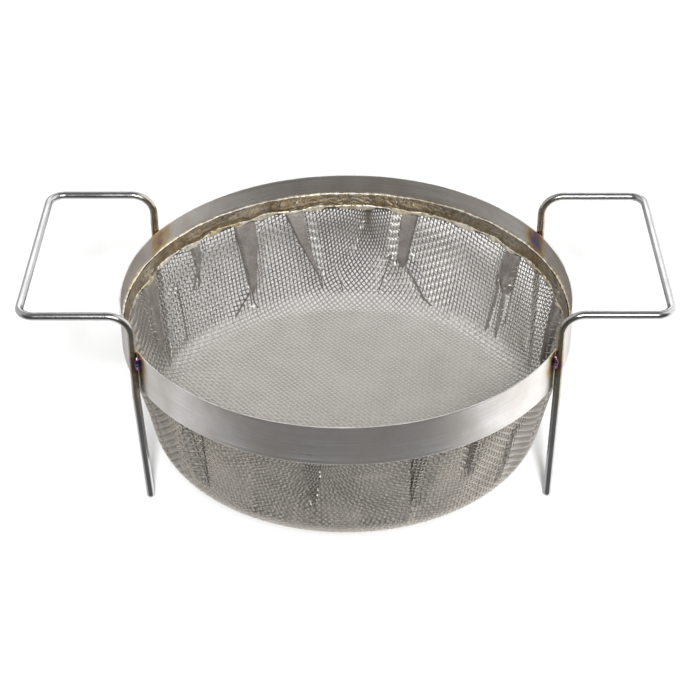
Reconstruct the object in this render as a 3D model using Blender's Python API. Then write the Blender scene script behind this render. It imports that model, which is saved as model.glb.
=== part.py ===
# Round wire-cloth soil sieve: a steel hoop, a pleated wire-cloth basket clamped inside it,
# and two bent rods that are handle and legs in one, welded to the outside of the hoop.
# Metres, +Z up. The four feet stand on z = 0 and the hoop's axis is the Z axis.
import math

import bmesh
import bpy
from mathutils import Vector

# Hoop
HOOP_RADIUS = 0.175
RIM_TOP = 0.136
BAND_HEIGHT = 0.033
BAND_SHEET = 0.001
SEAM_AZIMUTH = math.radians(184)
SEAM_GAP = 0.0024
SEAM_WELD_WIDTH = 0.0018
SEAM_WELD_PROUD = 0.0004

# Wire cloth, as a shell of the cloth's whole thickness
CLOTH_THICKNESS = 0.0022
CLOTH_TOP = 0.118
BASKET_UNDERSIDE = 0.0166
BASKET_FOOT_RADIUS = 0.154
BASKET_NECK_RADIUS = 0.1725
BASKET_CORNER_RADIUS = 0.014

# Retaining strip and its two beads
STRIP_SHEET = 0.001
STRIP_TOP = 0.118
STRIP_BOTTOM = 0.1075
BEAD_RADIUS = 0.001

# Handle-and-leg rods
ROD_RADIUS = 0.003
HANDLE_HEIGHT = 0.1685
HANDLE_REACH = 0.2378
POST_BEND = 0.017
CORNER_BEND = 0.012
FOOT_STUB = 0.005
LEFT_POST_AZIMUTH = math.radians(28.8)
RIGHT_POST_AZIMUTH = math.radians(28.1)
LEFT_TOE_IN = 0.0049
RIGHT_TOE_IN = 0.0018

# Rod welds
WELD_HEIGHT = 0.0125
WELD_MIDDLE = 0.1275
WELD_LEG = 0.0055
WELD_BULGE = 0.0012

TOUCH_GAP = 0.0003
RING_STEPS = 96
BEND_STEPS = 6
BAND_BOTTOM = RIM_TOP - BAND_HEIGHT
BAND_INNER = HOOP_RADIUS - BAND_SHEET
CLOTH_OUTER = BAND_INNER - TOUCH_GAP
CLOTH_INNER = CLOTH_OUTER - CLOTH_THICKNESS
STRIP_OUTER = CLOTH_INNER - TOUCH_GAP
STRIP_INNER = STRIP_OUTER - STRIP_SHEET
POST_RADIUS = HOOP_RADIUS + TOUCH_GAP + ROD_RADIUS


def clear_scene():
    for old in list(bpy.data.objects):
        bpy.data.objects.remove(old, do_unlink=True)


def steel(name, colour, roughness):
    material = bpy.data.materials.new(name)
    material.use_nodes = True
    shader = material.node_tree.nodes["Principled BSDF"]
    shader.inputs["Base Color"].default_value = (*colour, 1.0)
    shader.inputs["Roughness"].default_value = roughness
    shader.inputs["Metallic"].default_value = 1.0
    return material


def add_object(name, data, material):
    obj = bpy.data.objects.new(name, data)
    obj.data.materials.append(material)
    bpy.context.scene.collection.objects.link(obj)
    return obj


def add_solid(name, bm, material, sharp_angle=35):
    bmesh.ops.recalc_face_normals(bm, faces=bm.faces)
    mesh = bpy.data.meshes.new(name)
    bm.to_mesh(mesh)
    bm.free()
    mesh.shade_smooth()
    mesh.set_sharp_from_angle(angle=math.radians(sharp_angle))
    return add_object(name, mesh, material)


def turned(name, profile, material, start=0.0, sweep=2 * math.pi):
    # A closed (radius, height) outline turned about Z. A full turn closes on itself;
    # a part turn keeps its two end faces.
    bm = bmesh.new()
    verts = [bm.verts.new((r * math.cos(start), r * math.sin(start), z)) for r, z in profile]
    full = math.isclose(sweep, 2 * math.pi)
    outline = bm.faces.new(verts)
    geometry = list(outline.edges) + verts if full else [outline] + list(outline.edges) + verts
    if full:
        bm.faces.remove(outline)
    bmesh.ops.spin(
        bm, geom=geometry, axis=(0, 0, 1), cent=(0, 0, 0), angle=sweep, steps=RING_STEPS,
        use_merge=full)
    bmesh.ops.remove_doubles(bm, verts=bm.verts, dist=1e-6)
    return add_solid(name, bm, material)


def lofted(rings):
    # Sides between equal rings of points, with a face over each end.
    bm = bmesh.new()
    loops = [[bm.verts.new(point) for point in ring] for ring in rings]
    for lower, upper in zip(loops, loops[1:]):
        for i in range(len(lower)):
            j = (i + 1) % len(lower)
            bm.faces.new((lower[i], lower[j], upper[j], upper[i]))
    bm.faces.new(loops[0])
    bm.faces.new(loops[-1])
    return bm


def rounded_path(corners, bends):
    # A polyline whose corners are replaced by arcs of the given radii (0 keeps the corner).
    path = [Vector(corners[0])]
    for before, corner, after, radius in zip(corners, corners[1:], corners[2:], bends):
        corner = Vector(corner)
        back = (Vector(before) - corner).normalized()
        ahead = (Vector(after) - corner).normalized()
        if radius == 0:
            path.append(corner)
            continue
        half = back.angle(ahead) / 2
        centre = corner + (back + ahead).normalized() * (radius / math.sin(half))
        first = corner + back * (radius / math.tan(half)) - centre
        last = corner + ahead * (radius / math.tan(half)) - centre
        path += [centre + first.slerp(last, k / BEND_STEPS) * radius for k in range(BEND_STEPS + 1)]
    path.append(Vector(corners[-1]))
    return path


def make_rim_band():
    profile = [
        (BAND_INNER, BAND_BOTTOM), (HOOP_RADIUS, BAND_BOTTOM),
        (HOOP_RADIUS, RIM_TOP), (BAND_INNER, RIM_TOP)]
    gap_angle = SEAM_GAP / HOOP_RADIUS
    return turned(
        "rim_band", profile, steel("rim_band", (0.50, 0.49, 0.48), 0.32),
        SEAM_AZIMUTH + gap_angle / 2, 2 * math.pi - gap_angle)


def make_seam_weld():
    half_thickness = (BAND_SHEET + SEAM_WELD_PROUD) / 2
    middle = BAND_INNER + half_thickness
    rings = []
    for z in (BAND_BOTTOM + TOUCH_GAP, RIM_TOP - TOUCH_GAP):
        ring = []
        for k in range(12):
            turn = 2 * math.pi * k / 12
            r = middle + half_thickness * math.cos(turn)
            a = SEAM_AZIMUTH + SEAM_WELD_WIDTH / 2 * math.sin(turn) / middle
            ring.append((r * math.cos(a), r * math.sin(a), z))
        rings.append(ring)
    return add_solid("rim_seam_weld", lofted(rings), steel("rim_seam_weld", (0.42, 0.40, 0.38), 0.45))


def basket_outline(inset):
    # Wall and floor line of the bowl, from the neck down to the axis, moved inwards by inset.
    slope = math.atan2(BASKET_NECK_RADIUS - BASKET_FOOT_RADIUS, BAND_BOTTOM - BASKET_UNDERSIDE)
    turn = math.pi / 2 - slope
    tangent = BASKET_CORNER_RADIUS * math.tan(turn / 2)
    centre_r = BASKET_FOOT_RADIUS - tangent
    centre_z = BASKET_UNDERSIDE + BASKET_CORNER_RADIUS
    radius = BASKET_CORNER_RADIUS - inset
    arc = []
    for k in range(BEND_STEPS + 1):
        a = -slope - turn * k / BEND_STEPS
        arc.append((centre_r + radius * math.cos(a), centre_z + radius * math.sin(a)))
    rise = BAND_BOTTOM - TOUCH_GAP
    neck_r = BASKET_NECK_RADIUS - inset / math.cos(slope)
    return [(neck_r, rise)] + arc + [(0.0, BASKET_UNDERSIDE + inset)]


def make_mesh_basket():
    outer = [(CLOTH_OUTER, CLOTH_TOP), (CLOTH_OUTER, BAND_BOTTOM + 0.003)] + basket_outline(0.0)
    inner = [(CLOTH_INNER, CLOTH_TOP), (CLOTH_INNER, BAND_BOTTOM + 0.003)]
    inner += basket_outline(CLOTH_THICKNESS)
    return turned(
        "mesh_basket", outer + inner[::-1], steel("mesh_basket", (0.46, 0.44, 0.41), 0.45))


def make_clamp_strip():
    profile = [
        (STRIP_INNER, STRIP_BOTTOM), (STRIP_OUTER, STRIP_BOTTOM),
        (STRIP_OUTER, STRIP_TOP), (STRIP_INNER, STRIP_TOP)]
    return turned("clamp_strip", profile, steel("clamp_strip", (0.40, 0.35, 0.28), 0.5))


def make_bead(name, ring_radius, height, ripple, material):
    # A ring of round section whose thickness and height ripple round the hoop.
    steps, sides = 144, 8
    rings = []
    for i in range(steps):
        a = 2 * math.pi * i / steps
        wave = 0.5 + 0.3 * math.sin(17 * a) + 0.2 * math.sin(41 * a + 1.3)
        section = BEAD_RADIUS * (1 - 0.35 * ripple * wave)
        drop = ripple * BEAD_RADIUS * wave
        ring = []
        for k in range(sides):
            b = 2 * math.pi * k / sides
            r = ring_radius + section * math.cos(b)
            ring.append((r * math.cos(a), r * math.sin(a), height - drop + section * math.sin(b)))
        rings.append(ring)
    bm = bmesh.new()
    loops = [[bm.verts.new(point) for point in ring] for ring in rings]
    for i in range(steps):
        here, there = loops[i], loops[(i + 1) % steps]
        for k in range(sides):
            bm.faces.new((here[k], here[(k + 1) % sides], there[(k + 1) % sides], there[k]))
    return add_solid(name, bm, material, sharp_angle=80)


def make_upper_bead():
    ring_radius = BAND_INNER - 2 * TOUCH_GAP - BEAD_RADIUS
    height = STRIP_TOP + TOUCH_GAP + BEAD_RADIUS
    return make_bead("upper_bead", ring_radius, height, 0.0, steel("upper_bead", (0.62, 0.58, 0.52), 0.35))


def make_lower_bead():
    ring_radius = CLOTH_INNER - TOUCH_GAP - BEAD_RADIUS
    height = STRIP_BOTTOM - TOUCH_GAP - BEAD_RADIUS
    return make_bead("lower_bead", ring_radius, height, 1.0, steel("lower_bead", (0.66, 0.62, 0.55), 0.35))


def make_handle_leg_rod(name, side, azimuth, toe_in):
    # One rod from the front foot up the hoop, round the handle loop and down to the back foot.
    x = side * POST_RADIUS * math.cos(azimuth)
    y = POST_RADIUS * math.sin(azimuth)
    foot_x = x - side * toe_in
    knee = BAND_BOTTOM - 2 * ROD_RADIUS
    reach = side * HANDLE_REACH
    front = [(foot_x, -y, 0), (foot_x, -y, FOOT_STUB), (x, -y, knee), (x, -y, HANDLE_HEIGHT),
             (reach, -y, HANDLE_HEIGHT)]
    corners = front + [(px, -py, pz) for px, py, pz in reversed(front)]
    bends = [0, 0, POST_BEND, CORNER_BEND]
    path = rounded_path(corners, bends + bends[::-1])
    curve = bpy.data.curves.new(name, "CURVE")
    curve.dimensions = "3D"
    curve.bevel_depth = ROD_RADIUS
    curve.bevel_resolution = 4
    curve.use_fill_caps = True
    spline = curve.splines.new("POLY")
    spline.points.add(len(path) - 1)
    for point, place in zip(spline.points, path):
        point.co = (*place, 1.0)
    return add_object(name, curve, steel(name, (0.60, 0.60, 0.61), 0.22))


def weld_section(size):
    # Outline of a fillet between rod and hoop, as (radial, tangential) pairs: up the rod,
    # over the bulging face and back along the hoop. It keeps TOUCH_GAP to both.
    root, rod_arc = math.radians(50), math.radians(62) * size
    rod_offset, hoop_offset = ROD_RADIUS + TOUCH_GAP, HOOP_RADIUS + TOUCH_GAP
    steps = 4
    up_rod = []
    for k in range(steps + 1):
        a = root + rod_arc * k / steps
        up_rod.append(Vector((POST_RADIUS - rod_offset * math.cos(a), rod_offset * math.sin(a))))
    near, far = up_rod[0].y, up_rod[0].y + WELD_LEG * size
    along_hoop = []
    for k in range(steps + 1):
        v = far + (near - far) * k / steps
        along_hoop.append(Vector((math.sqrt(hoop_offset ** 2 - v ** 2), v)))
    chord = along_hoop[0] - up_rod[-1]
    outward = Vector((chord.y, -chord.x)).normalized()
    face = []
    for k in range(1, steps):
        t = k / steps
        face.append(up_rod[-1] + chord * t + outward * (WELD_BULGE * size * math.sin(math.pi * t)))
    return up_rod + face + along_hoop


def make_rod_weld(name, side_x, side_y, azimuth):
    # The fillet sits on the side of the post that faces the middle of the hoop's front or back.
    angle = math.atan2(side_y * math.sin(azimuth), side_x * math.cos(azimuth))
    turn = side_x * side_y
    stations = 8
    rings = []
    for k in range(stations + 1):
        t = -1 + 2 * k / stations
        size = 0.3 + 0.7 * math.sqrt(1 - t * t)
        ring = []
        for u, v in weld_section(size):
            x = u * math.cos(angle) - turn * v * math.sin(angle)
            y = u * math.sin(angle) + turn * v * math.cos(angle)
            ring.append((x, y, WELD_MIDDLE + WELD_HEIGHT / 2 * t))
        rings.append(ring)
    return add_solid(name, lofted(rings), steel(name, (0.40, 0.37, 0.42), 0.3), sharp_angle=60)


clear_scene()
make_rim_band()
make_seam_weld()
make_mesh_basket()
make_clamp_strip()
make_upper_bead()
make_lower_bead()
make_handle_leg_rod("left_handle_leg_rod", -1, LEFT_POST_AZIMUTH, LEFT_TOE_IN)
make_handle_leg_rod("right_handle_leg_rod", 1, RIGHT_POST_AZIMUTH, RIGHT_TOE_IN)
for side_name, side_x, azimuth in (("left", -1, LEFT_POST_AZIMUTH), ("right", 1, RIGHT_POST_AZIMUTH)):
    for end_name, side_y in (("front", -1), ("back", 1)):
        make_rod_weld(f"weld_{end_name}_{side_name}", side_x, side_y, azimuth)
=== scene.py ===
import math

import bpy
import numpy as np
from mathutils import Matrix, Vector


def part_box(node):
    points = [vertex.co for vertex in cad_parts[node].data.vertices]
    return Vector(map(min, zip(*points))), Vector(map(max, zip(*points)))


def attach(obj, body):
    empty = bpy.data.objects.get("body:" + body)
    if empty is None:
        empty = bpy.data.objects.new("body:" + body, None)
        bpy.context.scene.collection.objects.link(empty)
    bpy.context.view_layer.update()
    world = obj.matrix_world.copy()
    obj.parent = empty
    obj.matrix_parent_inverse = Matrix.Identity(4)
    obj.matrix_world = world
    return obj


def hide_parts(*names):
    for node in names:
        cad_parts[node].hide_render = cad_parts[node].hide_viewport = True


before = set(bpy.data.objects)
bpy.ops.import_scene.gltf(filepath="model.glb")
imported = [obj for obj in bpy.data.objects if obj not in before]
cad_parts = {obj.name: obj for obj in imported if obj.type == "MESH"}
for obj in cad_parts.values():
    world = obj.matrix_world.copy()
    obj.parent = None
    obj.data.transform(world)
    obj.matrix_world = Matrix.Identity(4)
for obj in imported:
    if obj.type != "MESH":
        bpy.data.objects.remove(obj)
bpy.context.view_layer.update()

bandLow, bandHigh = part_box("rim_band")
clothLow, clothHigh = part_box("mesh_basket")
stripLow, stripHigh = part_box("clamp_strip")
leftLow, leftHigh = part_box("left_handle_leg_rod")
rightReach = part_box("right_handle_leg_rod")[1][0]

hoopRadius = bandHigh[1]
rimTop = bandHigh[2]
bandBottom = bandLow[2]
fullTurn = 2 * math.pi


def smoothStep(x):  # 0 below 0, 1 above 1, 3x^2 - 2x^3 between
    x = np.clip(x, 0, 1)
    return x * x * (3 - 2 * x)


def turns(count):  # even angles once round
    return np.linspace(0, fullTurn, count, endpoint=False)


def signedTurn(azimuth):  # the same angle between -pi and pi
    return np.mod(azimuth + math.pi, fullTurn) - math.pi


def roundAxis(radius, azimuth, height):  # (r cos a, r sin a, z)
    return np.stack([radius * np.cos(azimuth), radius * np.sin(azimuth), height], -1)


def ripple(angle, seed, lowest, highest, count=12):
    # Cosines with whole numbers of waves round the hoop and random phases, scaled to about -1..1
    rng = np.random.default_rng(seed)
    waves = rng.integers(lowest, highest + 1, count)
    phases = rng.uniform(0, fullTurn, count)
    total = np.zeros_like(angle)
    for wave, phase in zip(waves, phases):
        total += np.cos(wave * angle + phase)
    return total / math.sqrt(count)


def signedVolume(points, quads):
    # Sum over the faces of the corner product a . (b x c) / 6, for both triangles of each quad
    a, b, c, d = (points[quads[:, k]] for k in range(4))
    first = np.einsum("ij,ij->i", a, np.cross(b, c))
    second = np.einsum("ij,ij->i", a, np.cross(c, d))
    return (first.sum() + second.sum()) / 6


def buildMesh(name, points, quads, caps=None, loopUV=None, heat=None):
    # Puts whole arrays into a mesh: quads first, then one many-sided cap for each row of caps
    if signedVolume(points, quads) < 0:
        quads = quads[:, ::-1]
        caps = None if caps is None else caps[:, ::-1]
        loopUV = None if loopUV is None else loopUV[:, ::-1]
    corners = quads.ravel()
    starts = np.arange(len(quads)) * 4
    if caps is not None:
        starts = np.concatenate([starts, len(corners) + np.arange(len(caps)) * caps.shape[1]])
        corners = np.concatenate([corners, caps.ravel()])
    mesh = bpy.data.meshes.new(name)
    mesh.vertices.add(len(points))
    mesh.vertices.foreach_set("co", np.asarray(points, dtype=np.float32).ravel())
    mesh.loops.add(len(corners))
    mesh.loops.foreach_set("vertex_index", corners.astype(np.int32))
    mesh.polygons.add(len(starts))
    mesh.polygons.foreach_set("loop_start", starts.astype(np.int32))
    mesh.update(calc_edges=True)
    if loopUV is not None:
        flat = np.zeros((len(corners), 2), dtype=np.float32)
        flat[:quads.size] = loopUV.reshape(-1, 2)
        mesh.uv_layers.new(name="UVMap").data.foreach_set("uv", flat.ravel())
    if heat is not None:
        layer = mesh.attributes.new("stain", "FLOAT", "POINT")
        layer.data.foreach_set("value", np.asarray(heat, dtype=np.float32).ravel())
    mesh.shade_smooth()
    mesh.set_sharp_from_angle(angle=math.radians(50))
    return mesh


def addPiece(name, mesh, finish):
    # finish is the material, the record's slot (not used here) and the node that the piece replaces
    material, slotName, node = finish
    piece = bpy.data.objects.new(name, mesh)
    bpy.context.scene.collection.objects.link(piece)
    mesh.materials.append(material)
    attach(piece, "root")
    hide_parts(node)


def addGrid(name, grid, closedRows, rowPlaces, columnPlaces, finish, heat=None):
    # Joins neighbouring points of a grid whose columns close into a loop, with caps on rows that don't close;
    # places give the UV in metres, one more than the points where the grid closes
    rows, columns = grid.shape[:2]
    i = np.arange(rows if closedRows else rows - 1)[:, None]
    j = np.arange(columns)[None, :]
    iNext, jNext = (i + 1) % rows, (j + 1) % columns
    quads = np.stack(np.broadcast_arrays(
        i * columns + j, i * columns + jNext, iNext * columns + jNext, iNext * columns + j), -1)
    corners = [(i, j), (i, j + 1), (i + 1, j + 1), (i + 1, j)]
    loopUV = [np.stack(np.broadcast_arrays(rowPlaces[a], columnPlaces[b]), -1) for a, b in corners]
    caps = None
    if not closedRows:
        ring = np.arange(columns)
        caps = np.stack([ring[::-1], (rows - 1) * columns + ring])
    loopUV = np.stack(loopUV, -2).reshape(-1, 4, 2)
    mesh = buildMesh(name, grid.reshape(-1, 3), quads.reshape(-1, 4), caps, loopUV, heat)
    addPiece(name, mesh, finish)


def hoopGrid(angles, radii, heights):  # angles give the rows, outline points the columns
    angles, radii, heights = np.broadcast_arrays(angles[:, None], radii, heights)
    return roundAxis(radii, angles, heights)


def outlineLengths(radii, heights, closed=True):
    # Running length along an outline, with the closing step at the end
    if closed:
        radii, heights = np.append(radii, radii[0]), np.append(heights, heights[0])
    return np.concatenate([[0], np.cumsum(np.hypot(np.diff(radii), np.diff(heights)))])


def roundedBar(halfWidth, halfHeight, edge, steps):
    # Outline of a rectangle whose corners are quarter circles of radius edge, long sides cut into steps
    quarter = np.linspace(0, math.pi / 2, 5)
    side = np.linspace(-1, 1, steps)[1:-1] * (halfHeight - edge)
    x, y = [], []
    for k, (sx, sy) in enumerate(((1, 1), (-1, 1), (-1, -1), (1, -1))):
        turn = quarter + k * math.pi / 2
        x.append(sx * (halfWidth - edge) + edge * np.cos(turn))
        y.append(sy * (halfHeight - edge) + edge * np.sin(turn))
        if k == 1:
            x.append(np.full(len(side), -halfWidth))
            y.append(side[::-1])
        if k == 3:
            x.append(np.full(len(side), halfWidth))
            y.append(side)
    return np.concatenate(x), np.concatenate(y)


def addNode(tree, kind, **settings):
    node = tree.nodes.new(kind)
    for key, value in settings.items():
        if hasattr(node, key):
            setattr(node, key, value)
        else:
            node.inputs[key].default_value = value
    return node


def mathNode(tree, operation, first, second=None, clamp=False):
    node = addNode(tree, "ShaderNodeMath", operation=operation, use_clamp=clamp)
    for k, item in enumerate((first, second)):
        if isinstance(item, (int, float)):
            node.inputs[k].default_value = item
        elif item is not None:
            tree.links.new(item, node.inputs[k])
    return node.outputs[0]


def mixColor(tree, factor, first, second, blend="MIX"):
    node = addNode(tree, "ShaderNodeMix", data_type="RGBA", blend_type=blend)
    for socket, item in ((node.inputs[0], factor), (node.inputs[6], first), (node.inputs[7], second)):
        if isinstance(item, tuple):
            socket.default_value = (*item, 1)
        elif isinstance(item, float):
            socket.default_value = item
        else:
            tree.links.new(item, socket)
    return node.outputs[2]


def colorRamp(tree, factor, stops):
    node = addNode(tree, "ShaderNodeValToRGB")
    ramp = node.color_ramp
    while len(ramp.elements) < len(stops):
        ramp.elements.new(1.0)
    for element, (place, color) in zip(ramp.elements, stops):
        element.position = place
        element.color = (*color, 1.0)
    tree.links.new(factor, node.inputs[0])
    return node.outputs[0]


def remap(tree, value, low, high, newLow, newHigh):
    node = addNode(tree, "ShaderNodeMapRange")
    tree.links.new(value, node.inputs[0])
    for k, number in enumerate((low, high, newLow, newHigh)):
        node.inputs[k + 1].default_value = number
    return node.outputs[0]


def startGroup(name, inputs, outputs):
    group = bpy.data.node_groups.new(name, "ShaderNodeTree")
    for socketName, kind, value in inputs:
        socket = group.interface.new_socket(socketName, in_out="INPUT", socket_type=kind)
        if value is not None:
            socket.default_value = value
    for socketName, kind in outputs:
        group.interface.new_socket(socketName, in_out="OUTPUT", socket_type=kind)
    return group, group.nodes.new("NodeGroupInput"), group.nodes.new("NodeGroupOutput")


def makeBrushedLines():
    # Long thin noise streaks: the vector is stretched so that a streak is many times longer than it is wide
    group, inside, outside = startGroup(
        "brushed lines",
        [("Vector", "NodeSocketVector", None), ("Streak Length", "NodeSocketFloat", 0.03),
         ("Streak Width", "NodeSocketFloat", 0.0003)],
        [("Tone", "NodeSocketFloat"), ("Fine Tone", "NodeSocketFloat")])
    parts = addNode(group, "ShaderNodeSeparateXYZ")
    group.links.new(inside.outputs["Vector"], parts.inputs[0])
    along = mathNode(group, "DIVIDE", parts.outputs[0], inside.outputs["Streak Length"])
    across = mathNode(group, "DIVIDE", parts.outputs[1], inside.outputs["Streak Width"])
    joined = addNode(group, "ShaderNodeCombineXYZ")
    group.links.new(along, joined.inputs[0])
    group.links.new(across, joined.inputs[1])
    coarse = addNode(group, "ShaderNodeTexNoise", Scale=0.35, Detail=3.0, Roughness=0.6)
    fine = addNode(group, "ShaderNodeTexNoise", Scale=1.6, Detail=2.0, Roughness=0.5)
    for noise in (coarse, fine):
        group.links.new(joined.outputs[0], noise.inputs["Vector"])
    group.links.new(remap(group, coarse.outputs[0], 0.3, 0.7, 0, 1), outside.inputs["Tone"])
    group.links.new(remap(group, fine.outputs[0], 0.3, 0.7, 0, 1), outside.inputs["Fine Tone"])
    return group


def makeHeatTint():
    # Oxide colours of heated stainless steel, from straw through brown and purple to blue and dark grey
    group, inside, outside = startGroup(
        "heat tint",
        [("Color", "NodeSocketColor", (0.6, 0.6, 0.6, 1)), ("Vector", "NodeSocketVector", None),
         ("Heat", "NodeSocketFloat", 0.0), ("Patch Size", "NodeSocketFloat", 0.006)],
        [("Color", "NodeSocketColor")])
    scaled = addNode(group, "ShaderNodeVectorMath", operation="SCALE")
    group.links.new(inside.outputs["Vector"], scaled.inputs[0])
    group.links.new(mathNode(group, "DIVIDE", 1.0, inside.outputs["Patch Size"]), scaled.inputs["Scale"])
    noise = addNode(group, "ShaderNodeTexNoise", Scale=1.0, Detail=3.0)
    group.links.new(scaled.outputs[0], noise.inputs["Vector"])
    shift = remap(group, noise.outputs[0], 0.25, 0.75, -0.16, 0.16)
    heat = inside.outputs["Heat"]
    fadeIn = mathNode(group, "MULTIPLY", heat, 6.0, clamp=True)
    spread = mathNode(group, "MULTIPLY", shift, fadeIn)
    patchy = mathNode(group, "ADD", heat, spread, clamp=True)
    tint = colorRamp(group, patchy, [
        (0.0, (1.0, 1.0, 1.0)), (0.18, (0.94, 0.86, 0.66)), (0.38, (0.72, 0.52, 0.30)),
        (0.56, (0.42, 0.25, 0.34)), (0.72, (0.24, 0.25, 0.42)), (0.88, (0.20, 0.22, 0.25)),
        (1.0, (0.13, 0.12, 0.12))])
    colored = mixColor(group, 1.0, inside.outputs["Color"], tint, "MULTIPLY")
    group.links.new(colored, outside.inputs["Color"])
    return group


def makeSmudges():
    # Soft cloudy patches for handling marks and uneven tone
    group, inside, outside = startGroup(
        "smudges",
        [("Vector", "NodeSocketVector", None), ("Patch Size", "NodeSocketFloat", 0.03)],
        [("Mask", "NodeSocketFloat"), ("Specks", "NodeSocketFloat")])
    scaled = addNode(group, "ShaderNodeVectorMath", operation="SCALE")
    group.links.new(inside.outputs["Vector"], scaled.inputs[0])
    group.links.new(mathNode(group, "DIVIDE", 1.0, inside.outputs["Patch Size"]), scaled.inputs["Scale"])
    clouds = addNode(group, "ShaderNodeTexNoise", Scale=1.0, Detail=4.0, Roughness=0.55)
    specks = addNode(group, "ShaderNodeTexNoise", Scale=14.0, Detail=2.0)
    for noise in (clouds, specks):
        group.links.new(scaled.outputs[0], noise.inputs["Vector"])
    group.links.new(remap(group, clouds.outputs[0], 0.35, 0.65, 0, 1), outside.inputs["Mask"])
    group.links.new(remap(group, specks.outputs[0], 0.55, 0.72, 0, 1), outside.inputs["Specks"])
    return group


brushedLines = makeBrushedLines()
heatTint = makeHeatTint()
smudges = makeSmudges()


def useGroup(tree, group, vector, **values):
    node = addNode(tree, "ShaderNodeGroup", node_tree=group)
    tree.links.new(vector, node.inputs["Vector"])
    for key, value in values.items():
        socket = node.inputs[key.replace("_", " ")]
        if isinstance(value, (int, float, tuple)):
            socket.default_value = value
        else:
            tree.links.new(value, socket)
    return node.outputs


def startMaterial(name, metallic=1.0):
    material = bpy.data.materials.new(name)
    material.use_nodes = True
    tree = material.node_tree
    shader = tree.nodes["Principled BSDF"]
    shader.inputs["Metallic"].default_value = metallic
    place = addNode(tree, "ShaderNodeTexCoord")
    return material, tree, shader, place


def smudgesAt(tree, place, patchSize):
    return useGroup(tree, smudges, place.outputs["Object"], Patch_Size=patchSize)


def partly(tree, mask, share, base, tint):  # tint replaces up to share of the base where the mask is high
    return mixColor(tree, mathNode(tree, "MULTIPLY", mask, share), base, tint)


def heated(tree, place, color, patchSize):
    heat = addNode(tree, "ShaderNodeAttribute", attribute_name="stain").outputs["Fac"]
    tinted = useGroup(tree, heatTint, place.outputs["Object"], Color=color, Heat=heat, Patch_Size=patchSize)
    return tinted["Color"]


def finishLook(tree, shader, color, rough, relief, depth, strength):
    # Links colour, roughness and a bump whose relief is depth metres deep
    bump = addNode(tree, "ShaderNodeBump", Strength=strength, Distance=depth)
    tree.links.new(relief, bump.inputs["Height"])
    for socketName, value in (("Base Color", color), ("Roughness", rough), ("Normal", bump.outputs[0])):
        tree.links.new(value, shader.inputs[socketName])


def makeBandSteel():
    material, tree, shader, place = startMaterial("band steel")
    lines = useGroup(tree, brushedLines, place.outputs["UV"], Streak_Length=0.05, Streak_Width=0.00035)
    cloud = smudgesAt(tree, place, 0.035)["Mask"]
    steel = mixColor(tree, lines["Tone"], (0.56, 0.55, 0.545), (0.80, 0.79, 0.785))
    steel = partly(tree, cloud, 0.75, steel, (0.52, 0.48, 0.445))
    rough = remap(tree, lines["Fine Tone"], 0, 1, 0.24, 0.38)
    rough = mathNode(tree, "ADD", rough, mathNode(tree, "MULTIPLY", cloud, 0.06))
    finishLook(tree, shader, heated(tree, place, steel, 0.007), rough, lines["Fine Tone"], 0.00004, 0.5)
    return material


def makeRodSteel():
    material, tree, shader, place = startMaterial("rod steel")
    lines = useGroup(tree, brushedLines, place.outputs["UV"], Streak_Length=0.02, Streak_Width=0.0005)
    cloud = smudgesAt(tree, place, 0.02)
    steel = mixColor(tree, lines["Tone"], (0.40, 0.40, 0.41), (0.52, 0.52, 0.53))
    steel = partly(tree, cloud["Specks"], 0.35, steel, (0.35, 0.34, 0.33))
    rough = remap(tree, cloud["Mask"], 0, 1, 0.16, 0.26)
    finishLook(tree, shader, heated(tree, place, steel, 0.004), rough, lines["Fine Tone"], 0.00002, 0.4)
    return material


def makeWireSteel():
    material, tree, shader, place = startMaterial("wire steel")
    cloud = smudgesAt(tree, place, 0.025)
    steel = mixColor(tree, cloud["Mask"], (0.41, 0.385, 0.352), (0.50, 0.472, 0.438))
    steel = partly(tree, cloud["Specks"], 0.4, steel, (0.30, 0.27, 0.24))
    parts = addNode(tree, "ShaderNodeSeparateXYZ")
    tree.links.new(place.outputs["Object"], parts.inputs[0])
    # painted shade darkens the hem wires where they lie against the band under the strip, and the bowl's
    # floor is rubbed dull
    hemShade = remap(tree, parts.outputs[2], bandBottom - 0.0015, bandBottom + 0.0015, 0, 0.75)
    steel = mixColor(tree, hemShade, steel, (0.17, 0.17, 0.14))
    rubbed = remap(tree, parts.outputs[2], 0.025, 0.031, 1, 0)
    tree.links.new(remap(tree, rubbed, 0, 1, 1, 0.74), shader.inputs["Metallic"])
    rough = remap(tree, cloud["Mask"], 0, 1, 0.32, 0.44)
    rough = mathNode(tree, "ADD", rough, mathNode(tree, "MULTIPLY", rubbed, 0.12))
    fine = addNode(tree, "ShaderNodeTexNoise", Scale=2500.0, Detail=1.0)
    tree.links.new(place.outputs["Object"], fine.inputs["Vector"])
    finishLook(tree, shader, steel, rough, fine.outputs[0], 0.00003, 0.3)
    return material


def makeCrushedClothShade():
    # dark grey for the crushed layers of cloth in the folds, its darkness partly painted shade of the layers
    # inside them
    material, tree, shader, place = startMaterial("crushed cloth and shade", 0.45)
    cloud = smudgesAt(tree, place, 0.012)["Mask"]
    grain = smudgesAt(tree, place, 0.0022)["Mask"]
    steel = mixColor(tree, cloud, (0.150, 0.135, 0.125), (0.210, 0.192, 0.180))
    steel = partly(tree, grain, 0.4, steel, (0.10, 0.09, 0.082))
    finishLook(tree, shader, steel, remap(tree, grain, 0, 1, 0.45, 0.60), grain, 0.0002, 0.5)
    return material


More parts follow.
